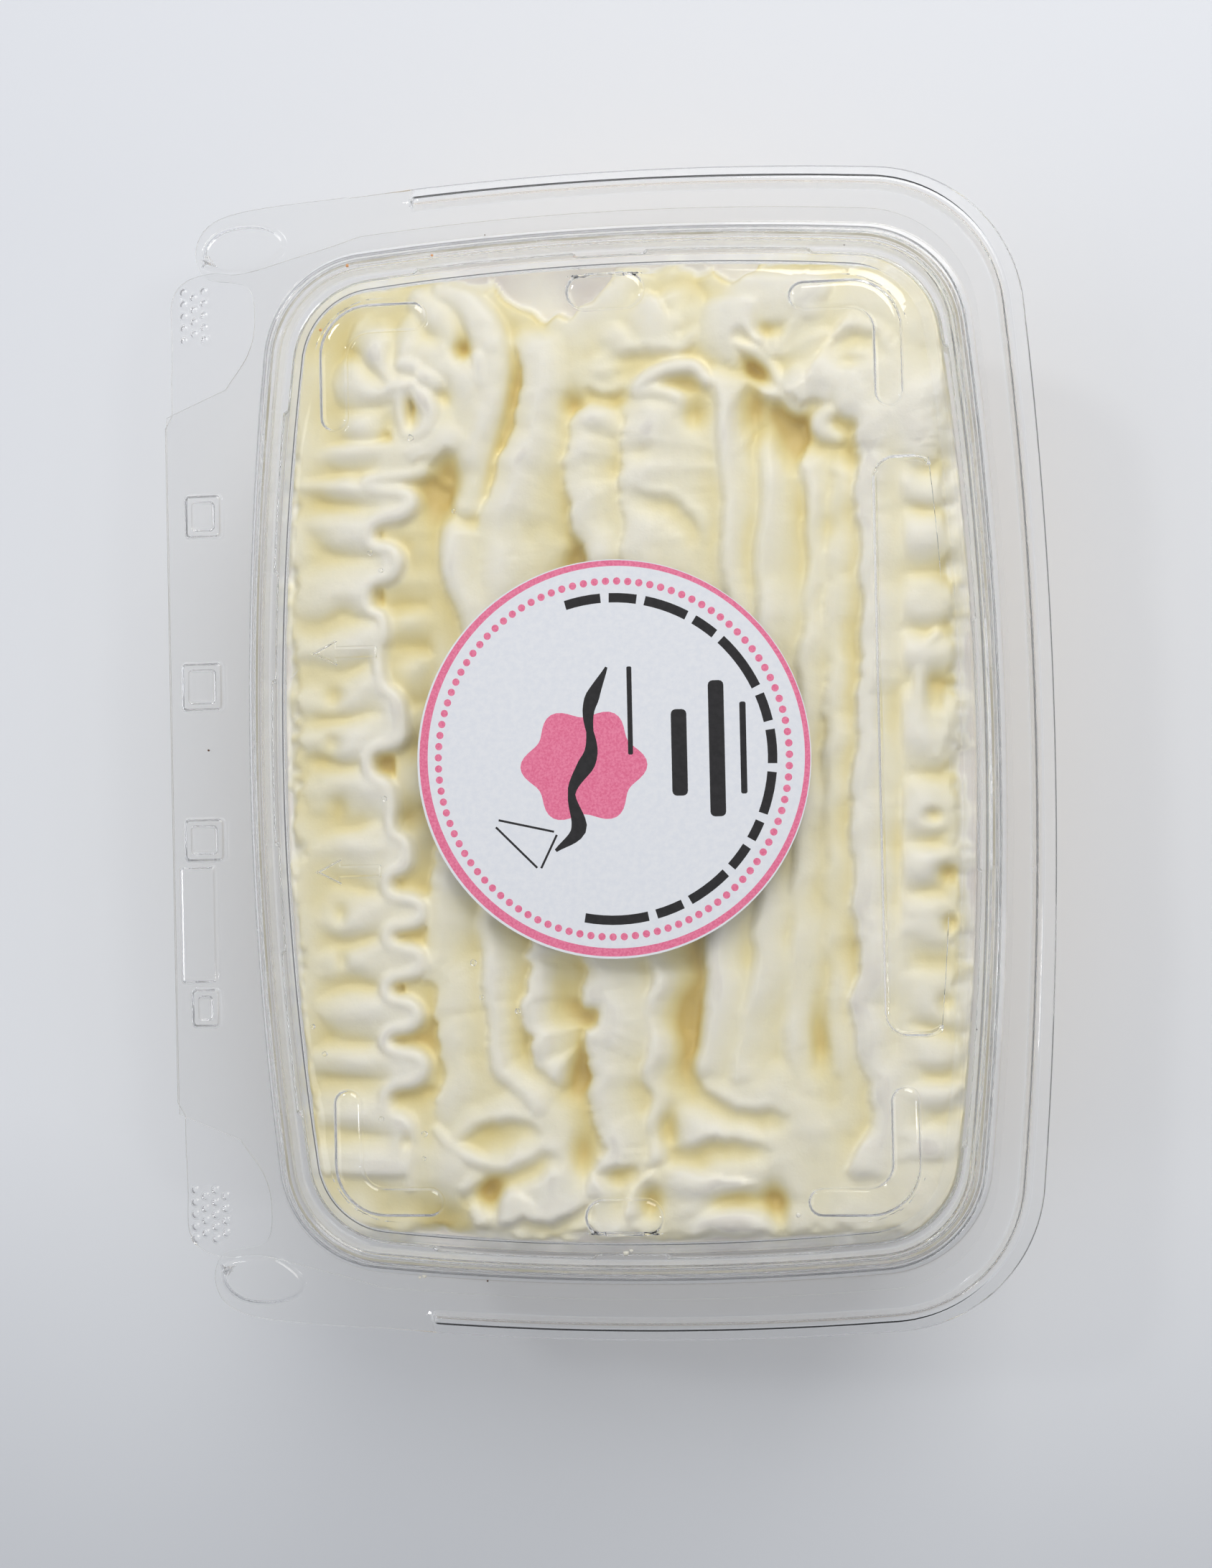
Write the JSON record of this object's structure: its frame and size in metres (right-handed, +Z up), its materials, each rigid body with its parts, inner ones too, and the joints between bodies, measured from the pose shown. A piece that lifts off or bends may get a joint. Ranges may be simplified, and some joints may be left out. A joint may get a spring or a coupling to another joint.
{
  "type": "tres leches cake in a clear hinged pack",
  "caption": "Rectangular milk-soaked sponge cake under piped whipped cream, shut in a clear plastic clamshell pack with a folded hinge strip and a round paper label.",
  "frame": {"origin": "middle of the tray's flat underside", "axes": "+Z up, +Y along the pack's length, +X away from the hinge strip"},
  "size_m": [0.144, 0.188, 0.0473],
  "materials": {
    "tray_plastic": "clear glossy",
    "lid_plastic": "clear glossy",
    "label_paper": "satin",
    "sponge": "moist crumb",
    "cream": "soft whipped"
  },
  "bodies": {
    "base": {"tray": "tray_plastic", "sponge_cake": "sponge", "whipped_cream": "cream"},
    "lid_body": {"lid": "lid_plastic", "label": "label_paper"}
  },
  "joints": [
    {"name": "lid_hinge", "type": "hinge", "parent": "base", "child": "lid_body", "pos_m": [-0.075, 0, 0.04095], "axis": [0, -1, 0], "range_deg": [0, 180]}
  ]
}
